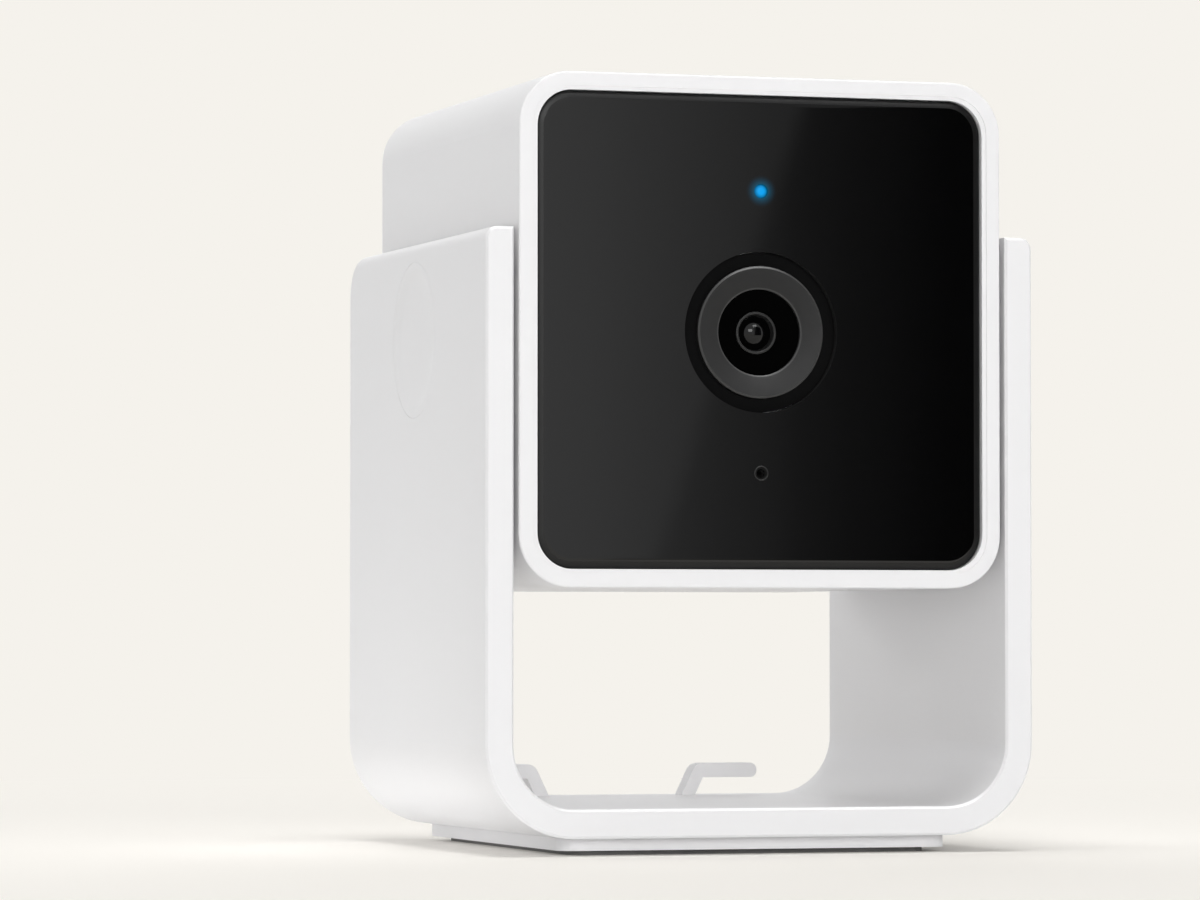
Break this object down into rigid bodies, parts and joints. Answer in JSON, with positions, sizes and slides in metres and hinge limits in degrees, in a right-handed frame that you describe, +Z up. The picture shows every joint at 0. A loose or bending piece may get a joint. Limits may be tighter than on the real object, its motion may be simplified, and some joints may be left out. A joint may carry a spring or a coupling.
{
  "type": "pet camera with tilting head",
  "caption": "Cube-shaped white indoor pet camera with a glossy black front, tilting between the arms of a U-shaped stand on a thin foot plate.",
  "frame": {"origin": "on the surface it stands on, under the middle of the foot", "axes": "+Z up; the lens looks along -Y; +X is to the left as the camera looks out, to the right for someone facing its front; X is parallel to the tilt axis"},
  "size_m": [0.06, 0.0544, 0.0808],
  "materials": {
    "stand_white": "satin",
    "head_white": "satin",
    "frame_white": "semi-gloss",
    "panel_black": "high gloss",
    "well_black": "satin",
    "ring_grey": "satin",
    "barrel_black": "satin",
    "lens_glass": "coated",
    "filter_glass": "coated",
    "light_blue": "lit",
    "foot_white": "satin",
    "pad_rubber": "matt",
    "steel": "plated",
    "brass": "turned",
    "gasket_rubber": "matt",
    "chassis_grey": "matt",
    "board_green": "solder mask",
    "board_black": "solder mask",
    "chip_black": "matt",
    "connector_white": "matt",
    "thermal_grey": "matt",
    "aluminium": "anodised",
    "flex_amber": "film",
    "lead_jacket": "matt",
    "cone_paper": "coated",
    "button_grey": "satin"
  },
  "bodies": {
    "stand": {"stand_bracket": "stand_white", "foot_plate": "foot_white", "foot_pad": "pad_rubber", "foot_screws": "steel", "pivot_cap_left": "stand_white", "pivot_cap_right": "stand_white"},
    "head": {"trunnion_left": "steel", "trunnion_right": "steel", "pivot_screw_left": "steel", "pivot_screw_right": "steel", "pivot_insert_left": "brass", "pivot_insert_right": "brass", "friction_washer_left": "gasket_rubber", "friction_washer_right": "gasket_rubber", "head_shell": "head_white", "front_frame": "frame_white", "front_panel": "panel_black", "panel_adhesive": "gasket_rubber", "lens_well": "well_black", "lens_ring": "ring_grey", "lens_barrel": "barrel_black", "front_lens": "lens_glass", "rear_lenses": "lens_glass", "lens_holder": "barrel_black", "filter_actuator": "chip_black", "image_sensor": "chip_black", "chassis": "chassis_grey", "frame_screws": "steel", "main_board": "board_green", "board_chips": "chip_black", "board_connectors": "connector_white", "thermal_pad": "thermal_grey", "heat_spreader": "aluminium", "board_screws": "steel", "front_board": "board_black", "infrared_lamps": "chip_black", "status_lamp": "connector_white", "light_pipe": "light_blue", "microphone": "steel", "microphone_gasket": "gasket_rubber", "front_board_screws": "steel", "board_flex": "flex_amber", "speaker_gasket": "gasket_rubber", "speaker_frame": "chassis_grey", "speaker_cone": "cone_paper", "speaker_magnet": "steel", "speaker_screws": "steel", "rear_board": "board_green", "rear_board_screws": "steel", "power_socket": "steel", "reset_switch": "chip_black", "radio_antenna": "flex_amber", "power_lead": "lead_jacket", "speaker_lead": "lead_jacket", "antenna_lead": "lead_jacket"},
    "filter_slide": {"infrared_cut_filter": "filter_glass"},
    "button": {"reset_button": "button_grey"}
  },
  "joints": [
    {"name": "head_tilt", "type": "hinge", "parent": "stand", "child": "head", "pos_m": [0, 0, 0.0542], "axis": [1, 0, 0], "range_deg": [-90, 30]},
    {"name": "night_filter_slide", "type": "slide", "parent": "head", "child": "filter_slide", "axis": [1, 0, 0], "range_m": [0, 0.0048]},
    {"name": "reset_button_press", "type": "slide", "parent": "head", "child": "button", "axis": [0, -1, 0], "range_m": [0, 0.0005], "stiffness_N_per_m": 400}
  ]
}
